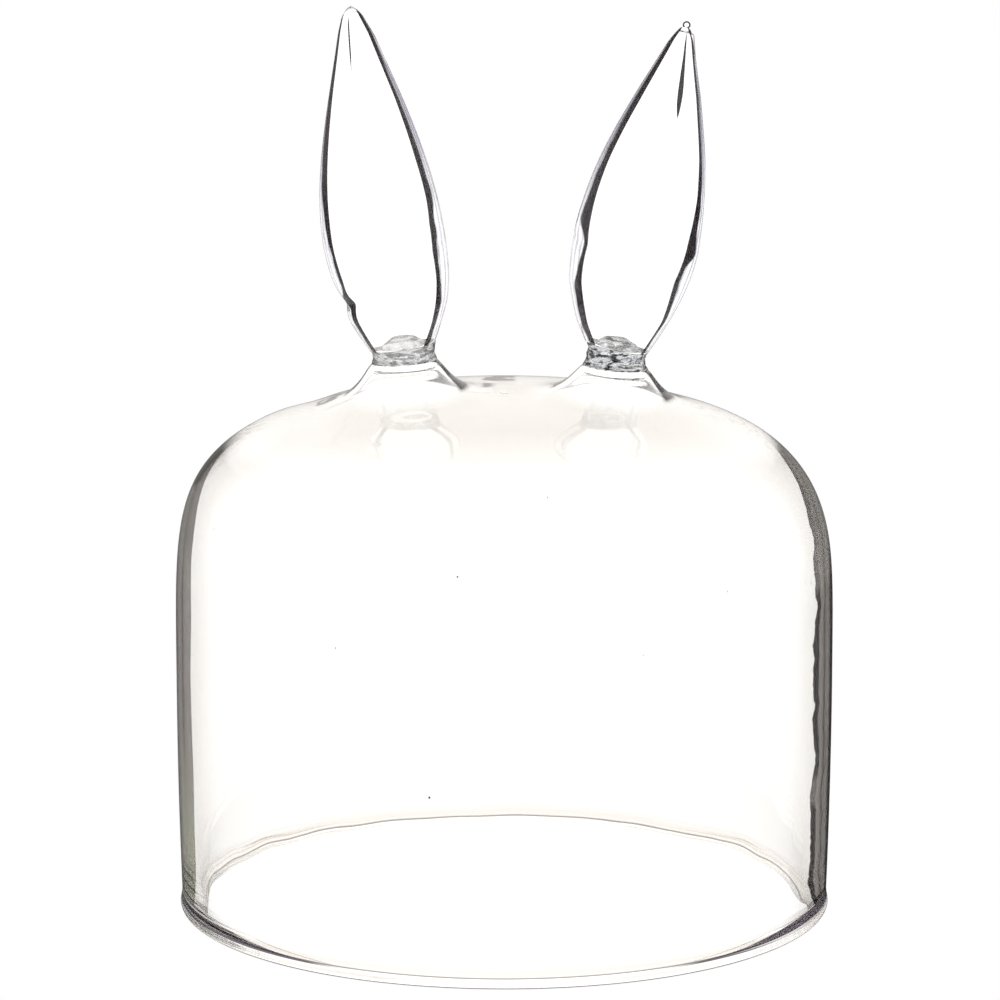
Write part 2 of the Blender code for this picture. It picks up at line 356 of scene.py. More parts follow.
def new_glass(name, wave_size, wave_height, absorb, density):
    """Clear glass with faint streaks and a softly uneven surface; its colour comes later."""
    material = bpy.data.materials.new(name)
    material.use_nodes = True
    tree = material.node_tree
    shader = tree.nodes["Principled BSDF"]
    shader.inputs["IOR"].default_value = GLASS_IOR
    shader.inputs["Transmission Weight"].default_value = 1.0
    place = tree.nodes.new("ShaderNodeTexCoord").outputs["Object"]
    streaks = noise_node(tree, place, STREAKINESS, 3.0)
    rough = times(tree, ramp_node(tree, streaks, 0.5, 0.8), STREAK_ROUGHNESS)
    tree.links.new(rough, shader.inputs["Roughness"])
    waviness = noise_node(tree, place, 1.0 / wave_size, 2.0)
    bumper = tree.nodes.new("ShaderNodeBump")
    bumper.inputs["Strength"].default_value = 1.0
    bumper.inputs["Distance"].default_value = wave_height
    tree.links.new(waviness, bumper.inputs["Height"])
    tree.links.new(bumper.outputs["Normal"], shader.inputs["Normal"])
    volume = tree.nodes.new("ShaderNodeVolumeAbsorption")
    volume.inputs["Color"].default_value = (*absorb, 1.0)
    volume.inputs["Density"].default_value = density
    tree.links.new(volume.outputs["Volume"], tree.nodes["Material Output"].inputs["Volume"])
    return material, tree, place


def facing_node(tree):
    """0 where the surface faces the eye, 1 where it is seen edge on."""
    weight = tree.nodes.new("ShaderNodeLayerWeight")
    weight.inputs["Blend"].default_value = 0.5
    return weight.outputs["Facing"]


def times(tree, *values):
    """Product of several values."""
    product = values[0]
    for value in values[1:]:
        product = math_node(tree, "MULTIPLY", product, value)
    return product


def less(tree, value, number):
    """A value less a number."""
    return math_node(tree, "SUBTRACT", value, number)


def rest(tree, value):
    """1 less a value."""
    return math_node(tree, "SUBTRACT", 1.0, value)


def linear(tree, value, slope, start):
    """Start plus slope times a value."""
    return math_node(tree, "MULTIPLY_ADD", value, slope, start)


def window(tree, value, middle, half):
    """1 near the middle, falling to 0 at half to either side."""
    return ramp_node(tree, math_node(tree, "ABSOLUTE", less(tree, value, middle)), half, 0.7 * half)


# Bell glass. Pairs of heights or shares are where a change starts and where it is complete.
SIDE_X = (0.6 * WALL_R, 0.95 * WALL_R)      # from the bell's middle part to its right side
EDGE_MM = 4.75                              # width of the painted dark edge shade
EDGE_DRIFT_MM = 1.6
EDGE_EXTRA_MM = 1.3                         # more width on the right
EDGE_RAGGED_MM = 4.6
EDGE_TOP_Z = (169 * MM, 163 * MM)
EDGE_FOOT_Z = (2.2 * MM, 5.5 * MM)
SHOULDER_TAPER_Z = (171 * MM, 142 * MM)
FOOT_TAPER_Z = (20 * MM, 4 * MM)
UPPER_EDGE_Z = (115 * MM, 140 * MM)
GREEN_Z = (80 * MM, 20 * MM)
HALO_MM = (15.0, 3.5)
# Colours of the painted edge shade, from the outline inwards
EDGE_SHADE_BANDS = (
    (0.00, (0.006, 0.005, 0.005)),
    (0.08, (0.022, 0.019, 0.018)),
    (0.20, (0.072, 0.064, 0.058)),
    (0.36, (0.050, 0.044, 0.040)),
    (0.43, (0.008, 0.007, 0.006)),
    (0.52, (0.056, 0.048, 0.043)),
    (0.80, (0.082, 0.073, 0.067)),
    (0.93, (0.055, 0.048, 0.044)),
    (0.96, (0.018, 0.016, 0.015)),
    (1.00, (0.90, 0.885, 0.87)),
)
DARK_LINE = (0.004, 0.0035, 0.0035)
UPPER_EDGE = (0.014, 0.012, 0.011)
GREEN_GREY = (0.105, 0.110, 0.070)
HALO = (0.70, 0.675, 0.64)

CLEAR = (1.0, 0.995, 0.985)
# painted warm tint, standing in for the warm light seen through the crown
PAINTED_CROWN_WARMTH = (0.885, 0.855, 0.815)
SEAT_CLEAR = (1.0, 1.0, 0.995)
CREAM_Z = (0.88 * CROWN_Z, 0.99 * CROWN_Z)
CROWN_OUTLINE_SHADE = (0.012, 0.008, 0.006)
OUTLINE_SHADE_Z = (160 * MM, 170 * MM)
OUTLINE_SHADES_X = ((-2 * MM, 7 * MM), (-62 * MM, 4.5 * MM))       # middle and half length of each
FLANK_SHADE = (0.006, 0.005, 0.006)
SEED_DARK = (0.02, 0.02, 0.02)

RIM_Z = (9 * MM, 5 * MM)
RIM_LINES_Z = (2.2 * MM, 2.8 * MM)
RIM_GREY = (0.035, 0.033, 0.032)
PAINTED_RIM_WARMTH = (0.76, 0.72, 0.66)
WEDGE_TOP_Z = (4.1 * MM, 3.8 * MM)
WEDGE_FOOT_Z = (3.2 * MM, 3.45 * MM)
WEDGE_RISE = 4.2 * MM                       # how much higher the wedge's top is at the side
WEDGE_RISE_X = (0.45 * WALL_R, 0.97 * WALL_R)
WEDGE_X = (0.42 * WALL_R, 0.58 * WALL_R)
WEDGE_Y = (0.0, -12 * MM)
WEDGE_SHADE = (0.018, 0.014, 0.019)
WEDGE_PALE = (0.42, 0.41, 0.40)
UNDERSIDE_Z = (0.90 * MM, 0.55 * MM)
UNDERSIDE_SHADE = (0.012, 0.010, 0.011)
INNER_EDGE_Z = 3.6 * MM
INNER_EDGE_HALF = (0.42 * MM, 0.28 * MM)
INNER_EDGE_DROP = 1.5 * MM                        # how much lower the painted line is at the front
INNER_EDGE_SHADE = (0.10, 0.085, 0.075)
INNER_EDGE_ENDS_SHADE = (0.012, 0.009, 0.013)
INNER_EDGE_ENDS_X = (0.30 * WALL_R, 0.75 * WALL_R)


def bell_point(tree, place):
    """What the bell's colour depends on, at a point of its surface."""
    x, y, z = split(tree, place)
    facing = facing_node(tree)
    cosine = rest(tree, facing)
    sine = math_node(tree, "SQRT", rest(tree, times(tree, cosine, cosine)))
    return SimpleNamespace(
        place=place,
        x=x,
        y=y,
        z=z,
        facing=facing,
        from_middle=math_node(tree, "ABSOLUTE", x),
        depth=times(tree, rest(tree, sine), WALL_R / MM),
        right=ramp_node(tree, x, *SIDE_X),
        left=ramp_node(tree, times(tree, x, -1.0), *SIDE_X),
        outside=attribute(tree, "outside"),
        seat=attribute(tree, "seat"),
    )


def edge_width(tree, at):
    """Width of the painted dark edge shade in millimetres, ragged on the right and narrower at both ends."""
    ragged = noise_node(tree, scaled(tree, at.place, (20.0, 20.0, 90.0)), 1.0, 4.0)
    drift = noise_node(tree, scaled(tree, at.place, (10.0, 10.0, 25.0)), 1.0, 2.0)
    more = times(tree, at.right, linear(tree, less(tree, ragged, 0.5), EDGE_RAGGED_MM, EDGE_EXTRA_MM))
    width = math_node(tree, "ADD", more, linear(tree, less(tree, drift, 0.5), EDGE_DRIFT_MM, EDGE_MM))
    shoulder = linear(tree, ramp_node(tree, at.z, *SHOULDER_TAPER_Z), 0.75, 0.25)
    foot = times(tree, ramp_node(tree, at.z, *FOOT_TAPER_Z), linear(tree, at.right, 0.30, 0.25))
    return times(tree, width, shoulder, rest(tree, foot))


def painted_edge_shade(tree, at):
    """Painted shade where the wall is seen edge on: grey-brown bands, a broken dark line on the right, green
    low on the left.
    """
    share = times(tree, math_node(tree, "DIVIDE", at.depth, edge_width(tree, at)), 0.96)
    colour = ramp_colours(tree, share, EDGE_SHADE_BANDS)
    patchy = noise_node(tree, scaled(tree, at.place, (4.0, 4.0, 30.0)), 1.0, 3.0)
    inner_line = times(tree, ramp_node(tree, share, 0.66, 0.74), ramp_node(tree, share, 0.97, 0.93),
                       at.right, ramp_node(tree, patchy, 0.40, 0.50))
    outer_line = times(tree, ramp_node(tree, share, 0.22, 0.10), at.right)
    colour = mix_node(tree, math_node(tree, "MAXIMUM", inner_line, outer_line), colour, DARK_LINE)
    upper = times(tree, ramp_node(tree, at.z, *UPPER_EDGE_Z), ramp_node(tree, share, 0.97, 0.92), 0.5)
    colour = mix_node(tree, upper, colour, UPPER_EDGE)
    green = times(tree, at.left, ramp_node(tree, at.z, *GREEN_Z), ramp_node(tree, share, 0.10, 0.3),
                  ramp_node(tree, share, 0.98, 0.94), 0.8)
    colour = mix_node(tree, green, colour, GREEN_GREY)
    halo = times(tree, ramp_node(tree, at.depth, *HALO_MM), ramp_node(tree, share, 0.96, 1.02))
    return mix_node(tree, halo, colour, HALO)


def clear_colour(tree, at):
    """The thin glass: a painted warm tint on the crown, with two dashes of painted shade on the crown's
    outline and painted shade on the seats' flanks.
    """
    # painted warm tint on the crown
    colour = mix_node(tree, ramp_node(tree, at.z, *CREAM_Z), CLEAR, PAINTED_CROWN_WARMTH)
    colour = mix_node(tree, at.seat, colour, SEAT_CLEAR)
    # painted shade: dark dashes along the crown's outline where it is seen nearly edge on
    places = [window(tree, at.x, middle, half) for middle, half in OUTLINE_SHADES_X]
    feather = noise_node(tree, scaled(tree, at.place, (60.0, 60.0, 600.0)), 1.0, 2.0)
    outline_shade = times(tree, ramp_node(tree, at.z, *OUTLINE_SHADE_Z), ramp_node(tree, at.facing, 0.87, 0.89),
                   ramp_node(tree, at.facing, 0.98, 0.95), math_node(tree, "MAXIMUM", *places),
                   ramp_node(tree, feather, 0.36, 0.40))
    colour = mix_node(tree, outline_shade, colour, CROWN_OUTLINE_SHADE)
    # painted shade on the flanks of the seats where they turn away from the eye
    turned = linear(tree, attribute(tree, "lee"), 0.17, at.facing)
    flank_shade = times(tree, ramp_node(tree, at.seat, 0.40, 0.60), ramp_node(tree, turned, 0.76, 0.83))
    return mix_node(tree, flank_shade, colour, FLANK_SHADE)


def rim_colour(tree, at, colour):
    """The rolled rim: fine lines, painted shade as a dark wedge towards each end of the front and under the
    rim, a painted line of shade along its inner edge, and a painted warm tint inside.
    """
    rim = ramp_node(tree, at.z, *RIM_Z)
    lines = noise_node(tree, scaled(tree, at.place, (9.0, 9.0, 1200.0)), 1.0, 2.0)
    lines = times(tree, ramp_node(tree, lines, 0.52, 0.55), ramp_node(tree, at.facing, 0.35, 0.6), rim,
                  ramp_node(tree, at.z, *RIM_LINES_Z), 0.5)
    colour = mix_node(tree, lines, colour, RIM_GREY)

    # painted shade: a dark ribbed wedge where the front of the rim is seen towards each end
    spread = ramp_node(tree, at.from_middle, *WEDGE_RISE_X)
    sunk = linear(tree, times(tree, spread, spread), -WEDGE_RISE, at.z)
    wedge = times(tree, ramp_node(tree, sunk, *WEDGE_TOP_Z), ramp_node(tree, at.z, *WEDGE_FOOT_Z),
                  ramp_node(tree, at.from_middle, *WEDGE_X), ramp_node(tree, at.y, *WEDGE_Y), at.outside)
    ribs = noise_node(tree, scaled(tree, at.place, (5.0, 5.0, 700.0)), 1.0, 1.0)
    ribbed = mix_node(tree, ramp_node(tree, ribs, 0.53, 0.60), WEDGE_SHADE, WEDGE_PALE)
    colour = mix_node(tree, wedge, colour, ribbed)

    # painted shade under the rim
    under_shade = times(tree, ramp_node(tree, at.z, *UNDERSIDE_Z), ramp_node(tree, at.facing, 0.25, 0.42),
                  at.outside)
    colour = mix_node(tree, under_shade, colour, UNDERSIDE_SHADE)

    # painted line of shade along the rim's inner edge, darker and wider towards its ends
    inner = rest(tree, at.outside)
    raised = linear(tree, ramp_node(tree, at.y, 10 * MM, -10 * MM), INNER_EDGE_DROP, at.z)
    ends = times(tree, ramp_node(tree, at.from_middle, *INNER_EDGE_ENDS_X),
                 ramp_node(tree, at.y, 20 * MM, -10 * MM))
    off_inner_edge = linear(tree, ends, -0.15 * MM, math_node(tree, "ABSOLUTE", less(tree, raised, INNER_EDGE_Z)))
    inner_edge_shade = times(tree, ramp_node(tree, off_inner_edge, *INNER_EDGE_HALF), inner)
    colour = mix_node(tree, inner_edge_shade, colour, mix_node(tree, ends, INNER_EDGE_SHADE, INNER_EDGE_ENDS_SHADE))
    # painted warm tint on the inner skin of the rim, above its painted line
    cream = times(tree, rim, ramp_node(tree, raised, INNER_EDGE_Z, INNER_EDGE_Z + 0.4 * MM), inner)
    return mix_node(tree, cream, colour, PAINTED_RIM_WARMTH)


def bell_material():
    """Bell glass: clear, with painted grey-brown shade along its edges where the wall is seen edge on, and a
    painted warm tint on the crown.
    """
    material, tree, place = new_glass("bell_glass", 30 * MM, 0.04 * MM, (0.99, 0.97, 0.93), 1.0)
    at = bell_point(tree, place)
    # painted shade along the outer wall where it is seen edge on
    edge = times(tree, ramp_node(tree, at.z, *EDGE_TOP_Z), ramp_node(tree, at.z, *EDGE_FOOT_Z), at.outside)
    colour = mix_node(tree, edge, clear_colour(tree, at), painted_edge_shade(tree, at))
    colour = rim_colour(tree, at, colour)
    colour = mix_node(tree, attribute(tree, "mark"), colour, SEED_DARK)
    tree.links.new(colour, tree.nodes["Principled BSDF"].inputs["Base Color"])
    return material


# Ear glass
LOWER_EAR_Z = (285 * MM, 240 * MM)          # the edges of the lower ear are clearer and wavier
CHARCOAL = (0.0010, 0.0007, 0.0009)
GRAPHITE = (0.010, 0.008, 0.010)
LILAC = (0.13, 0.12, 0.16)
PALE = (0.62, 0.60, 0.70)
MIST = (0.36, 0.35, 0.42)
CLEAR_EDGE = (0.95, 0.945, 0.975)


def ear_material():
    """Ear glass: clear, with painted shade along its thick edges, charcoal inside and lilac grey outside, and
    along its outline.
    """
    material, tree, place = new_glass("ear_glass", 12 * MM, 0.03 * MM, (0.96, 0.965, 0.99), 1.0)
    _, _, z = split(tree, place)
    wander = noise_node(tree, place, 90.0, 1.0)
    band = attribute(tree, "band")
    share = attribute(tree, "dark")
    lower = ramp_node(tree, z, *LOWER_EAR_Z)
    sway = times(tree, less(tree, wander, 0.5), linear(tree, lower, 0.45, 0.06))
    over = math_node(tree, "ADD", math_node(tree, "ADD", band, sway), less(tree, share, 1.0))
    dark = ramp_node(tree, over, -0.10, 0.06)
    soft = times(tree, ramp_node(tree, over, -0.55, 0.10), rest(tree, lower))

    grain = tree.nodes.new("ShaderNodeCombineXYZ")
    tree.links.new(times(tree, band, 9.0), grain.inputs["X"])
    tree.links.new(times(tree, z, 14.0), grain.inputs["Y"])
    fine = noise_node(tree, grain.outputs[0], 1.0, 2.0)
    light = mix_node(tree, ramp_node(tree, fine, 0.38, 0.60), LILAC, PALE)
    mist = mix_node(tree, ramp_node(tree, fine, 0.34, 0.50), MIST, CLEAR_EDGE)
    light = mix_node(tree, lower, light, mist)
    thread = math_node(tree, "ABSOLUTE", less(tree, fine, 0.47))
    light = mix_node(tree, times(tree, ramp_node(tree, thread, 0.012, 0.004), lower), light, GRAPHITE)
    light = mix_node(tree, soft, light, GRAPHITE)
    # painted shade of the thick edges, standing in for the dark look of glass seen edge on
    edge = mix_node(tree, dark, light, CHARCOAL)
    in_edge = times(tree, ramp_node(tree, band, 1.04, 0.97), attribute(tree, "front"))
    colour = mix_node(tree, in_edge, COLOURLESS, edge)
    # painted shade along the ear's outline
    limb = times(tree, ramp_node(tree, facing_node(tree), 0.86, 0.95), ramp_node(tree, band, 6.0, 5.0))
    colour = mix_node(tree, limb, colour, GRAPHITE)
    # painted shade on the creases in the ear's wall, and small dark specks
    colour = mix_node(tree, attribute(tree, "mark"), colour, CHARCOAL)
    tree.links.new(colour, tree.nodes["Principled BSDF"].inputs["Base Color"])
    return material


# Seal, plug and bead glass
SEAL_PALE = (0.88, 0.875, 0.86)
SEAL_OUTLINE_SHADE = (0.02, 0.02, 0.024)
BEAD_OUTLINE_SHADE = (0.002, 0.002, 0.002)
SEAL_SEEDS_AND_GLINTS = (
    (0.00, (0.003, 0.003, 0.004)),
    (0.42, (0.006, 0.006, 0.007)),
    (0.45, (0.12, 0.125, 0.135)),
    (0.49, (0.45, 0.46, 0.48)),
    (0.54, (0.90, 0.91, 0.92)),
    (0.60, (0.22, 0.225, 0.24)),
    (0.66, (0.95, 0.96, 0.97)),
)


def seal_material():
    """Seal glass: silvery, crinkled and seedy, the right one the most; its dark and pale flecks are partly
    seeds and partly painted glints and shade of the crinkles, and its outline is painted shade.
    """
    material, tree, place = new_glass("seal_glass", 1.5 * MM, 0.12 * MM, (0.9, 0.9, 0.92), 4.0)
    x, _, _ = split(tree, place)
    warped = noise_node(tree, place, 160.0, 2.0)
    fine = noise_node(tree, scaled(tree, place, (300.0, 300.0, 900.0)), 1.0, 5.0)
    fine = linear(tree, less(tree, warped, 0.5), 0.35, fine)
    # flecks: partly seeds, partly painted glints and shade of the crinkles
    flecks = ramp_colours(tree, fine, SEAL_SEEDS_AND_GLINTS)
    right = ramp_node(tree, x, -10 * MM, 10 * MM)
    amount = times(tree, linear(tree, right, 0.15, 0.85), linear(tree, attribute(tree, "pale"), -0.6, 1.0))
    colour = mix_node(tree, amount, SEAL_PALE, flecks)
    # painted shade along the seal's outline
    limb = ramp_node(tree, facing_node(tree), 0.60, 0.90)
    colour = mix_node(tree, limb, colour, SEAL_OUTLINE_SHADE)
    tree.links.new(colour, tree.nodes["Principled BSDF"].inputs["Base Color"])
    return material


def bead_material():
    """Tip drop: clear in the middle, with painted shade round its outline."""
    material, tree, place = new_glass("bead_glass", 2 * MM, 0.02 * MM, (0.96, 0.96, 0.98), 1.0)
    cloud = noise_node(tree, place, 400.0, 2.0)
    ring = linear(tree, less(tree, cloud, 0.5), 0.12, facing_node(tree))
    colour = mix_node(tree, ramp_node(tree, ring, 0.12, 0.22), COLOURLESS, BEAD_OUTLINE_SHADE)
    tree.links.new(colour, tree.nodes["Principled BSDF"].inputs["Base Color"])
    return material


# Bell

def bell_curve(radius, foot_r, foot_z, top):
    """Half outline of the bell from its foot up to the crown, as (r, z)."""
    points = []
    for t in np.linspace(0.0, 1.0, 40, endpoint=False):
        points.append((radius - (radius - foot_r) * (1.0 - t) ** 2, foot_z + (SHOULDER_Z - foot_z) * t))
    for angle in np.linspace(0.0, TURN / 4, 400):
        r = radius * math.cos(angle) ** (2.0 / ROUND_R) if angle < TURN / 4 - 1e-6 else 0.0
        z = SHOULDER_Z + (top - SHOULDER_Z) * math.sin(angle) ** (2.0 / ROUND_Z)
        points.append((r, z))
    return points


def crown_height(r):
    """Height of the bell's outer surface at a distance from its axis."""
    share = 1.0 - (r / WALL_R) ** ROUND_R
    return SHOULDER_Z + (CROWN_Z - SHOULDER_Z) * share ** (1.0 / ROUND_Z)


def seat_profile(ear, away):
    """Height of a seat's outside over the crown at a distance from its axis, and its slope."""
    fall = np.maximum(away - SEAT_R, 0.0) / SEAT_FLARE
    skirt = SEAT_SKIRT * np.exp(-0.5 * (fall / SEAT_SPREAD) ** 2)
    steep_part = (1.0 - SEAT_SKIRT) * (1.0 + fall) * np.exp(-fall)
    lift = ear["seat_h"] * (skirt + steep_part)
    slope = ear["seat_h"] * (1.0 - SEAT_SKIRT) * fall * np.exp(-fall) / SEAT_FLARE
    return lift, slope


def build_bell(material):
    """Bell and lip as the one blown piece that they are, with uneven walls."""
    roll = LIP_ROLL_R
    foot = LIP_H + FOOT_RISE
    outside = bell_curve(WALL_R, FOOT_R, foot, CROWN_Z)[::-1]
    lip = arc(LIP_R - roll, roll, roll, 30.0, -90.0, LIP_STEPS)
    lip += arc(LIP_IN_R + roll, roll, roll, 270.0, 165.0, LIP_STEPS)
    inside = bell_curve(WALL_R - WALL_T, FOOT_R - WALL_T, foot, CROWN_Z - CROWN_T)
    outer = respace(outside, BELL_SPACING)[1:]
    inner = respace(inside, BELL_SPACING)[:-1]
    rows = np.concatenate([outer, np.array(lip), inner])
    half_lip = LIP_STEPS + 1
    is_inner = np.concatenate([np.zeros(len(outer) + half_lip), np.ones(half_lip + len(inner))])
    angle = np.arange(BELL_STEPS) * TURN / BELL_STEPS
    r = rows[:, :1]
    z = rows[:, 1:] + 0.0 * angle
    x = r * np.cos(angle) - HOLLOW_SHIFT * is_inner[:, None] * smooth_step(0, 20 * MM, rows[:, 1:])
    y = r * np.sin(angle)
    seat, lee = np.zeros(x.shape), np.zeros(x.shape)
    for ear in EARS.values():
        lift, steep = seat_profile(ear, np.hypot(x - ear["side"] * ear["seat_x"], y))
        rise = np.clip(lift / (SEAT_FULL * ear["seat_h"]), 0.0, 1.0)
        seat = np.maximum(seat, rise * (z > LIFT_Z[0]))
        past = smooth_step(*LEE_X, x - ear["side"] * ear["seat_x"])
        lee = np.where(x * ear["side"] > 0, past, lee)
        thin = SEAT_WALL * (np.sqrt(1.0 + steep ** 2) - 1.0)
        lift = lift - np.where(is_inner[:, None] > 0, np.minimum(thin, lift), 0.0)
        lift = lift * smooth_step(*LIFT_Z, z)
        x = x + ear["side"] * math.sin(SEAT_LEAN) * lift
        z = z + math.cos(SEAT_LEAN) * lift
    verts = np.stack([x, y, z], axis=2).reshape(-1, 3)
    verts = uneven_walls(verts, np.repeat(is_inner, BELL_STEPS))
    poles = [(0.0, 0.0, CROWN_Z), (-HOLLOW_SHIFT, 0.0, CROWN_Z - CROWN_T)]
    verts = np.concatenate([verts, poles])
    faces = skin(len(rows), BELL_STEPS)
    outside = np.concatenate([1.0 - np.repeat(is_inner, BELL_STEPS), [1.0, 0.0]])
    marks = np.zeros(len(verts))
    verts, faces = add_bubbles(verts, faces, bell_seeds())
    values = {"outside": padded(outside, len(verts), 0.0), "mark": padded(marks, len(verts), 1.0),
              "seat": padded(seat, len(verts), 0.0), "lee": padded(lee, len(verts), 0.0)}
    return make_piece("bell_glass_body", verts, faces, material, ("dome_shell", "rim_lip"),
                      values)


# Seeds in the bell's wall: degrees round from the front, height and radius in millimetres
SEEDS = (
    (-8.0, 139.9, 0.30), (-12.7, 65.3, 0.36), (-62.8, 143.9, 0.22), (67.4, 123.7, 0.3), (24.0, 112.0, 0.18),
    (131.0, 96.0, 0.3), (-146.0, 71.0, 0.25), (171.0, 121.0, 0.22), (96.0, 58.0, 0.3), (-101.0, 108.0, 0.26),
)
SEED_CURVE = 3.6            # how fast the wall's middle curves in above its straight part
SEED_STRETCH = 1.4

# Unevenness of the bell's walls
SLOW_WAVE = 45 * MM
QUICK_WAVE = 14 * MM
SLOW_PUSH = {"outer": 0.06 * MM, "inner": 0.25 * MM}
QUICK_PUSH = {"left": 0.06 * MM, "right": 0.16 * MM}        # of the inside only
SLUMP = 0.9 * MM            # how far the shoulder leans to the left
SLUMP_Z = 160 * MM
SLUMP_REACH = 20 * MM
DIP = 1.0 * MM              # a shallow dip in the left shoulder
DIP_X = -67 * MM
DIP_REACH = 8 * MM


def bell_seeds():
    """Small bubbles in the middle of the wall."""
    seeds = []
    for degrees, height, radius in SEEDS:
        a = math.radians(degrees)
        half = radius * MM
        shift = 1.0 - max(height * MM - SHOULDER_Z, 0.0) ** 2 * SEED_CURVE
        r = (WALL_R - 0.5 * WALL_T) * shift
        seeds.append(((r * math.sin(a), -r * math.cos(a), height * MM), (half, half, SEED_STRETCH * half)))
    return seeds


def uneven_walls(verts, inner):
    """Push the walls in and out a little, the inside more than the outside."""
    r = np.hypot(verts[:, 0], verts[:, 1])
    out = np.stack([verts[:, 0], verts[:, 1]], axis=1) / np.maximum(r, 1e-6)[:, None]
    z = verts[:, 2]
    wall = smooth_step(4 * MM, 14 * MM, z) * smooth_step(40 * MM, 90 * MM, r)
    slow = waves(verts, SLOW_WAVE, 1)
    quick = waves(verts * (1, 1, 0.6), QUICK_WAVE, 2)
    right = smooth_step(0.55, 0.95, out[:, 0])
    quick_push = QUICK_PUSH["left"] + (QUICK_PUSH["right"] - QUICK_PUSH["left"]) * right
    push = np.where(inner > 0, SLOW_PUSH["inner"] * slow + quick_push * quick, SLOW_PUSH["outer"] * slow)
    shoulder = np.exp(-((z - SLUMP_Z) / SLUMP_REACH) ** 2) * smooth_step(40 * MM, 80 * MM, r)
    push = push * wall - SLUMP * out[:, 0] * shoulder
    moved = verts.copy()
    moved[:, :2] += out * push[:, None]
    dip = np.exp(-((verts[:, 0] - DIP_X) / DIP_REACH) ** 2) * smooth_step(150 * MM, 165 * MM, z)
    moved[:, 2] -= DIP * dip
    return moved


# Ears

FAR_IN = 9.0                # "band" of glass that lies in neither edge
LEAF_GAP = 0.3 * MM         # from the top of the seal to the leaf's mouth
SHELL_TOP = 0.5 * MM        # how far below its top the shell's own axis ends
TIP_REACH = {"left": 0.2 * MM, "right": 1.1 * MM}       # how far past the frame's tip each leaf runs
VOID_STEPS = 12
VOID_ROWS = 60


def seat_frame(ear, height):
    """Frame on the axis of an ear's seat, at a height above the crown."""
    place = Matrix.Translation((ear["side"] * ear["seat_x"], 0.0, crown_height(ear["seat_x"])))
    lean = Matrix.Rotation(ear["side"] * SEAT_LEAN, 4, "Y")
    return place @ lean @ Matrix.Translation((0.0, 0.0, height))


def ear_frame(ear, height=0.0):
    """Frame on the axis of an ear, at a height above the top of its seal."""
    origin = seat_frame(ear, SEAL_TOP).to_translation()
    lean = Matrix.Rotation(ear["side"] * ear["lean"], 4, "Y")
    return Matrix.Translation(origin) @ lean @ Matrix.Translation((0.0, 0.0, height))


def ear_length(side, ear):
    """Length of an ear's shell along its axis, from the frame."""
    low = ear_frame(ear).to_translation().z
    return (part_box(f"{side}_ear_shell")[1].z - low) / math.cos(ear["lean"]) - SHELL_TOP


def ear_top(side, ear):
    """Length of an ear along its axis up to the top of its bead."""
    low = ear_frame(ear).to_translation().z
    return (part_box(f"{side}_ear_bead")[1].z - low) / math.cos(ear["lean"])


def ear_section(ear, t):
    """Half width and half depth of an ear at a share of its length."""
    low = np.clip(t / BELLY_T, 0.0, 1.0)
    high = np.clip((t - BELLY_T) / (1.0 - BELLY_T), 0.0, 1.0)
    w_low = bezier(ear["neck"], ear["neck"] * 1.58, ear["belly"], ear["belly"], low)
    w_high = bezier(ear["belly"], ear["belly"] * 0.97, ear["belly"] * 0.46, TIP_W, high)
    d_low = bezier(NECK_D, NECK_D * 1.1, BELLY_D, BELLY_D, low)
    d_high = bezier(BELLY_D, BELLY_D, BELLY_D * 0.5, TIP_D, high)
    return np.where(t < BELLY_T, w_low, w_high), np.where(t < BELLY_T, d_low, d_high)


def ear_rows(ear, length, t, shell, round_share):
    """Vertices of an ear's outer skin, or inner skin when shell is set, in the ear's frame."""
    half_w, half_d = ear_section(ear, t)
    centre = ear["bow"] * np.sin(math.pi * t)
    key = "edge" if shell else "out"
    sign = -HOLLOW_SHARE if shell else 1.0
    left = sign * along(ear[f"{key}_left"], t) * MM
    right = sign * along(ear[f"{key}_right"], t) * MM
    half_w = half_w + 0.5 * (left + right)
    centre = centre + 0.5 * (right - left)
    if shell:
        half_d = half_d - (FACE_LOW + (FACE_TIP - FACE_LOW) * t)
    end = HOLLOW_END if shell else 1.0
    near_tip = np.clip((t - end + round_share) / round_share, 0.0, 1.0)
    round_off = np.sqrt(np.maximum(1.0 - near_tip ** 2, 0.0))
    angle = np.arange(EAR_STEPS) * TURN / EAR_STEPS
    x = centre[:, None] + (half_w * round_off)[:, None] * np.cos(angle)
    y = (half_d * round_off)[:, None] * np.sin(angle)
    z = (length * t)[:, None] + 0.0 * angle
    return np.stack([x, y, z], axis=2).reshape(-1, 3)


def edge_values(ear, length, verts):
    """How deep in an edge each outer vertex lies, 0 outside to 1 at the hollow, and its dark share."""
    t = np.clip(verts[:, 2] / length, 0.0, 1.0)
    half_w, _ = ear_section(ear, t)
    x = verts[:, 0] - ear["bow"] * np.sin(math.pi * t)
    best, dark = np.full(len(verts), FAR_IN), np.zeros(len(verts))
    for sign, name in ((-1.0, "left"), (1.0, "right")):
        out = along(ear[f"out_{name}"], t) * MM
        edge = along(ear[f"edge_{name}"], t) * MM
        deep = (half_w + out - sign * x) / np.maximum(out + edge, 0.4 * MM)
        dark = np.where(deep < best, along(ear[f"dark_{name}"], t), dark)
        best = np.minimum(best, deep)
    return best, dark


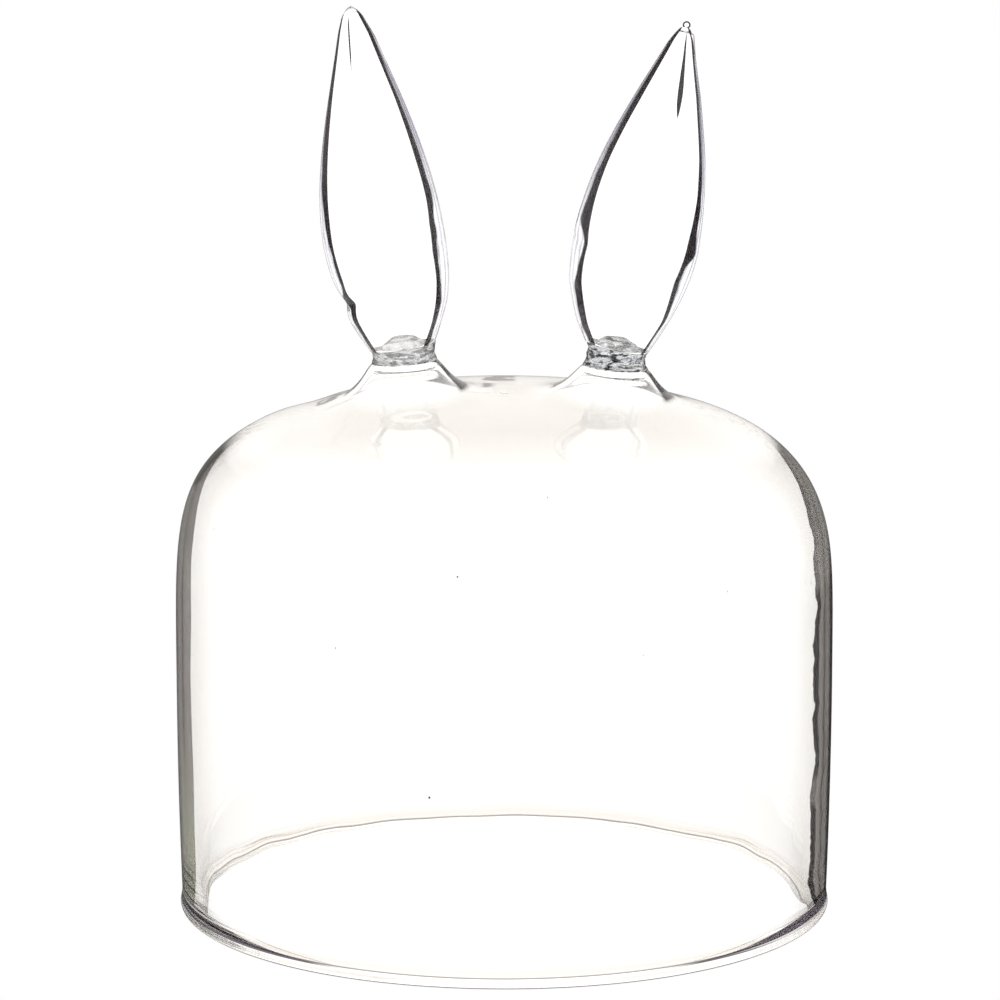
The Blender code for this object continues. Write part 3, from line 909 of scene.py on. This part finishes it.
def void(ear, length, path, depth):
    """Vertices and inward faces of a stretched bubble in an ear's front wall.

    The path is (sideways mm, share of length, half width mm) from end to end.
    """
    rows = []
    xs, ts, halves = (np.array(column, float) for column in zip(*path))
    fine = np.linspace(0.0, len(path) - 1.0, VOID_ROWS)
    keys = np.arange(len(path))
    x = np.interp(fine, keys, xs) * MM
    t = np.interp(fine, keys, ts)
    half = np.interp(fine, keys, halves) * MM
    half_w, half_d = ear_section(ear, t)
    centre = ear["bow"] * np.sin(math.pi * t)
    bulge = np.sqrt(np.maximum(1.0 - ((x - centre) / half_w) ** 2, 0.05))
    y = -half_d * bulge + 0.5 * depth
    angle = np.arange(VOID_STEPS) * TURN / VOID_STEPS
    for i in range(1, len(fine) - 1):
        row_x = x[i] + half[i] * np.cos(angle)
        row_y = y[i] + np.minimum(half[i], 0.32 * depth) * np.sin(angle)
        rows.append(np.stack([row_x, row_y, length * t[i] + 0.0 * angle], axis=1))
    ends = [(x[k], y[k], length * t[k]) for k in (0, -1)]
    verts = np.concatenate(rows + [np.array(ends)])
    faces = skin(len(rows), VOID_STEPS)
    if ts[0] > ts[-1]:
        faces = [face[::-1] for face in faces]
    return verts, faces


def build_ear(side, ear, material):
    """A hollow flattened leaf with uneven walls, open at the neck and closed at the tip."""
    tip_at = ear_top(side, ear) if side == "left" else ear_length(side, ear)
    length = tip_at + TIP_REACH[side]
    round_share = TIP_ROUND[side]
    fine_t = 1.0 - round_share * np.linspace(0.0, 1.0, 24, endpoint=False)[1:] ** 2
    outer_t = np.concatenate([fine_t, np.linspace(1.0 - round_share, 0.0, EAR_ROWS)])
    inner_t = np.linspace(0.0, HOLLOW_END - round_share, EAR_ROWS)
    inner_t = np.concatenate([inner_t, (fine_t - 1.0 + HOLLOW_END)[::-1]])
    outer = ear_rows(ear, length, outer_t, False, round_share)
    inner = ear_rows(ear, length, inner_t, True, round_share)
    band, dark = edge_values(ear, length, outer)
    clear = np.full(len(inner), FAR_IN)
    tip = (0.0, 0.0, length)
    end = (ear["bow"] * math.sin(math.pi * HOLLOW_END), 0.0, length * HOLLOW_END)
    verts = np.concatenate([outer, inner, [tip, end]])
    faces = skin(len(outer_t) + len(inner_t), EAR_STEPS)
    _, half_d = ear_section(ear, outer_t)
    front = smooth_step(0.35, -0.05, outer[:, 1] / np.repeat(half_d, EAR_STEPS))
    values = {"band": np.concatenate([band, clear, [0.0, FAR_IN]]),
              "front": np.concatenate([front, 0.0 * clear, [1.0, 0.0]]),
              "dark": np.concatenate([dark, 0.0 * clear, [0.9, 0.0]]),
              "mark": np.zeros(len(verts))}
    for path, mark, depth in ear["voids"]:
        more, skins = void(ear, length, path, depth * MM)
        faces += [tuple(i + len(verts) for i in face) for face in skins]
        verts = np.concatenate([verts, more])
        for key, fill in (("band", FAR_IN), ("front", 0.0), ("dark", 0.0), ("mark", mark)):
            values[key] = padded(values[key], len(verts), fill)
    place = np.array(ear_frame(ear, LEAF_GAP))
    verts = verts @ place[:3, :3].T + place[:3, 3]
    nodes = (f"{side}_ear_shell", f"{side}_ear_bead") if side == "left" else (f"{side}_ear_shell",)
    return make_piece(f"{side}_ear_leaf", verts, faces, material, nodes, values)


def folds(verts, side, squeeze, size, height, seed):
    """Small moves every way, in waves of the given size that are squeezed upwards."""
    moves = [waves(verts * (1, 1, squeeze), size, seed + side + axis) for axis in (0.0, 11.0, 23.0)]
    return height * np.stack(moves, axis=1)


def bubble(centre, radii, steps=16):
    """Vertices and inward faces of a small void in the glass."""
    rows = steps // 2
    polar = np.linspace(0.0, math.pi, rows + 1)[1:-1]
    angle = np.arange(steps) * TURN / steps
    x = np.sin(polar)[:, None] * np.cos(angle)
    y = np.sin(polar)[:, None] * np.sin(angle)
    z = np.cos(polar)[:, None] + 0.0 * angle
    verts = np.stack([x, y, z], axis=2).reshape(-1, 3)
    verts = np.concatenate([verts, [(0, 0, 1), (0, 0, -1)]]) * radii + centre
    faces = [face[::-1] for face in skin(rows - 1, steps)]
    return verts, faces


def add_bubbles(verts, faces, bubbles):
    """The same solid with voids in it."""
    verts, faces = [np.array(verts)], list(faces)
    count = len(verts[0])
    for centre, radii in bubbles:
        more, skins = bubble(np.array(centre), np.array(radii))
        verts.append(more)
        faces += [tuple(i + count for i in face) for face in skins]
        count += len(more)
    return np.concatenate(verts), faces


SEAL_STEPS = 120
SEAL_ROWS = 40
SEAL_CAP_ROWS = 14
SEAL_SKIRT = 11.4 * MM      # radius of the seal where it spreads over its seat
SEAL_WAIST = 0.9 * MM       # how much narrower than the ear's neck it can be in between
SEAL_GAPS = (0.1 * MM, 0.2 * MM)                # from the seat to its foot, and from SEAL_TOP to its top
BUBBLE_SIZES = (0.15 * MM, 0.5 * MM)

# Folds of the seals and plugs: (squeeze, wave size, height, seed)
SEAL_FOLDS = ((1.6, 3.2 * MM, 0.5 * MM, 5.0), (2.0, 1.3 * MM, 0.16 * MM, 9.0))
PLUG_FOLDS = ((1.0, 4.0 * MM, 0.5 * MM, 15.0), (1.0, 1.5 * MM, 0.12 * MM, 19.0))
PLUG_STEPS = 96
PLUG_ROWS = 24
PLUG_GAP = 0.4 * MM
PLUG_PALE = {"left": 1.0, "right": 0.3}         # how faint each plug's flecks are

BEAD_STEPS = 40
BEAD_SHIFT = (-0.6 * MM, 0.0, 0.7 * MM)
BEAD_GROWTH = 1.05


def build_seal(side, ear, material):
    """The thick crinkled collar between a seat and an ear, full of small bubbles."""
    bottom = seat_frame(ear, ear["seat_h"] + SEAL_GAPS[0])
    top = ear_frame(ear, SEAL_GAPS[1])
    low, high = bottom.to_translation(), top.to_translation()
    angle = np.arange(SEAL_STEPS) * TURN / SEAL_STEPS
    round_angle = np.stack([np.cos(angle), np.sin(angle), 0 * angle], axis=1)
    rows, hold = [], []
    for i in range(1, SEAL_CAP_ROWS):
        r = SEAL_SKIRT * i / SEAL_CAP_ROWS
        fall = ear["seat_h"] - seat_profile(ear, r)[0]
        rows.append((round_angle * r - (0.0, 0.0, fall)) @ np.array(bottom)[:3, :3].T + np.array(low))
        hold.append(0.0)
    drop = ear["seat_h"] - seat_profile(ear, SEAL_SKIRT)[0]
    waist = ear["neck"] - SEAL_WAIST
    for i in range(SEAL_ROWS + 1):
        t = i / SEAL_ROWS
        lean = Matrix.Rotation(ear["side"] * (SEAT_LEAN + (ear["lean"] - SEAT_LEAN) * t), 3, "Y")
        half = waist + (SEAL_SKIRT - waist) * (1.0 - t) ** 3 + SEAL_WAIST * t ** 4
        centre = np.array(low.lerp(high, t)) - np.array(lean)[:, 2] * drop * (1.0 - t) ** 2
        rows.append((round_angle * half) @ np.array(lean).T + centre)
        hold.append(min(1.0, 5.0 * t, 5.0 * (1.0 - t)))
    for i in range(SEAL_CAP_ROWS - 1, 0, -1):
        ring = round_angle * ear["neck"] * i / SEAL_CAP_ROWS
        rows.append(ring @ np.array(top)[:3, :3].T + np.array(high))
        hold.append(0.0)
    verts = np.concatenate(rows + [np.array([low, high])])
    hold = np.concatenate([np.repeat(hold, SEAL_STEPS), [0.0, 0.0]])[:, None]
    verts = verts + sum(folds(verts, ear["side"], *fold) for fold in SEAL_FOLDS) * hold
    faces = [face[::-1] for face in skin(len(rows), SEAL_STEPS)]
    draw = np.random.default_rng(7 if side == "left" else 8)
    bubbles = []
    for _ in range(ear["bubbles"]):
        t = draw.uniform(0.22, 0.78)
        spin, away = draw.uniform(0, TURN), SEAT_R * 0.78 * math.sqrt(draw.uniform(0, 1))
        offset = Vector((away * math.cos(spin), away * math.sin(spin), 0.0))
        size = draw.uniform(*BUBBLE_SIZES)
        bubbles.append((low.lerp(high, t) + offset, (size * draw.uniform(1.0, 3.0), size, size * 0.7)))
    verts, faces = add_bubbles(verts, faces, bubbles)
    return make_piece(f"{side}_seal_glass", verts, faces, material, (f"{side}_ear_seal",),
                      {"pale": np.zeros(len(verts))})


def build_plug(side, ear, material):
    """The domed, folded lump of glass inside an ear's mouth."""
    rows = []
    angle = np.arange(PLUG_STEPS) * TURN / PLUG_STEPS
    for rise in np.linspace(0.0, TURN / 4, PLUG_ROWS, endpoint=False):
        r, z = PLUG_R * math.cos(rise), PLUG_H * math.sin(rise)
        rows.append(np.stack([r * np.cos(angle), r * np.sin(angle), z + 0 * angle], axis=1))
    verts = np.concatenate(rows[::-1] + [np.array([(0, 0, PLUG_H), (0, 0, 0)])])
    place = np.array(ear_frame(ear, PLUG_GAP))
    verts = verts @ place[:3, :3].T + place[:3, 3]
    for fold in PLUG_FOLDS:
        verts = verts + folds(verts, ear["side"], *fold)
    faces = skin(len(rows), PLUG_STEPS)
    return make_piece(f"{side}_plug_glass", verts, faces, material, (f"{side}_ear_plug",),
                      {"pale": np.full(len(verts), PLUG_PALE[side])})


def build_bead(side, material):
    """The small drop at an ear's tip."""
    low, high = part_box(f"{side}_ear_bead")
    centre = np.array((low + high) / 2) + BEAD_SHIFT
    verts, faces = bubble(centre, np.array((high - low) / 2) * BEAD_GROWTH, BEAD_STEPS)
    faces = [face[::-1] for face in faces]
    return make_piece(f"{side}_tip_drop", verts, faces, material, (f"{side}_ear_bead",))


# Studio. The colours of SKY and REFLECTED run from straight down at 0 to straight up at 1.

WHITE = 1.3
BOUNCES = 100               # light runs a long way inside the walls
SKY = (
    (0.00, (WHITE, WHITE, WHITE)),
    (0.64, (WHITE, WHITE, WHITE)),
    (0.80, (1.12, 1.07, 1.01)),
    (1.00, (1.02, 0.97, 0.92)),
)
REFLECTED = (
    (0.00, (1.0, 1.0, 1.0)),
    (0.25, (0.75, 0.75, 0.75)),
    (0.34, (0.14, 0.13, 0.125)),
    (0.425, (0.14, 0.13, 0.125)),
    (0.47, (0.60, 0.58, 0.56)),
    (0.52, (0.74, 0.71, 0.68)),
    (0.64, (0.74, 0.71, 0.68)),
    (0.74, (0.34, 0.32, 0.30)),
    (1.00, (0.34, 0.32, 0.30)),
)
REFLECTED_RIGHT = (0.02, 0.018, 0.018)
REFLECTED_BEHIND = (0.22, 0.21, 0.195)
BEHIND_Z = -0.19            # upward part of the direction in which the camera looks
BACKDROP = (1.0, 1.0, 1.0)
FLOOR_HALF = 12.0
FLOOR_GAP = 0.2 * MM        # from the floor up to the rim


def make_world():
    """White low light behind the glass and a darker room for it to reflect."""
    world = bpy.data.worlds.new("studio")
    bpy.context.scene.world = world
    world.use_nodes = True
    world.cycles.sampling_method = "NONE"
    tree = world.node_tree
    tree.nodes.clear()
    direction = tree.nodes.new("ShaderNodeTexCoord").outputs["Generated"]
    x, y, z = split(tree, direction)
    up = linear(tree, z, 0.5, 0.5)
    path = tree.nodes.new("ShaderNodeLightPath")
    through = ramp_colours(tree, up, SKY)
    mirrored = ramp_colours(tree, up, REFLECTED)
    on_right = times(tree, ramp_node(tree, x, 0.0, 0.10), ramp_node(tree, up, 0.46, 0.42),
                     ramp_node(tree, up, 0.30, 0.35))
    mirrored = mix_node(tree, on_right, mirrored, REFLECTED_RIGHT)
    across = math_node(tree, "ABSOLUTE", x)
    sideways = linear(tree, less(tree, z, BEHIND_Z), -0.85, across)
    behind = times(tree, ramp_node(tree, sideways, 0.0, 0.05), ramp_node(tree, across, 0.02, 0.06),
                   ramp_node(tree, y, 0.5, 0.7), ramp_node(tree, up, 0.40, 0.42))
    mirrored = mix_node(tree, behind, mirrored, REFLECTED_BEHIND)
    colour = mix_node(tree, path.outputs["Is Reflection Ray"], through, mirrored)
    colour = mix_node(tree, path.outputs["Is Camera Ray"], colour, BACKDROP)
    lit = tree.nodes.new("ShaderNodeBackground")
    tree.links.new(colour, lit.inputs["Color"])
    output = tree.nodes.new("ShaderNodeOutputWorld")
    tree.links.new(lit.outputs["Background"], output.inputs["Surface"])


def make_floor():
    """Plain white floor, seen by the camera but not through or in the glass."""
    mesh = bpy.data.meshes.new("floor")
    half = FLOOR_HALF
    corners = [(-half, -half, 0), (half, -half, 0), (half, half, 0), (-half, half, 0)]
    mesh.from_pydata(corners, [], [(0, 1, 2, 3)])
    floor = bpy.data.objects.new("floor", mesh)
    floor.location.z = -FLOOR_GAP
    bpy.context.scene.collection.objects.link(floor)
    material = bpy.data.materials.new("floor")
    material.use_nodes = True
    tree = material.node_tree
    tree.nodes.clear()
    light = tree.nodes.new("ShaderNodeEmission")
    light.inputs["Color"].default_value = (1, 1, 1, 1)
    out = tree.nodes.new("ShaderNodeOutputMaterial")
    tree.links.new(light.outputs[0], out.inputs[0])
    mesh.materials.append(material)
    floor.visible_transmission = False
    floor.visible_glossy = False
    floor.visible_diffuse = False
    floor.visible_shadow = False


def make_camera():
    """The scene's camera, looking along +Y and slightly down."""
    data = bpy.data.cameras.new("camera")
    data.lens = LENS_MM
    data.sensor_width = 36.0
    data.clip_start = 0.1
    data.clip_end = 60.0
    camera = bpy.data.objects.new("camera", data)
    camera.location = CAMERA_AT
    camera.rotation_euler = (TURN / 4 - CAMERA_DOWN, 0.0, 0.0)
    bpy.context.scene.collection.objects.link(camera)
    bpy.context.scene.camera = camera


make_camera()
make_world()
make_floor()
scene = bpy.context.scene
scene.view_settings.view_transform = "Standard"
scene.cycles.max_bounces = BOUNCES
scene.cycles.transmission_bounces = BOUNCES
scene.cycles.glossy_bounces = BOUNCES

bell_glass = bell_material()
ear_glass = ear_material()
seal_glass = seal_material()
bead_glass = bead_material()
build_bell(bell_glass)
for side, ear in EARS.items():
    build_ear(side, ear, ear_glass)
    build_seal(side, ear, seal_glass)
    build_plug(side, ear, seal_glass)
    if side == "right":
        build_bead(side, bead_glass)
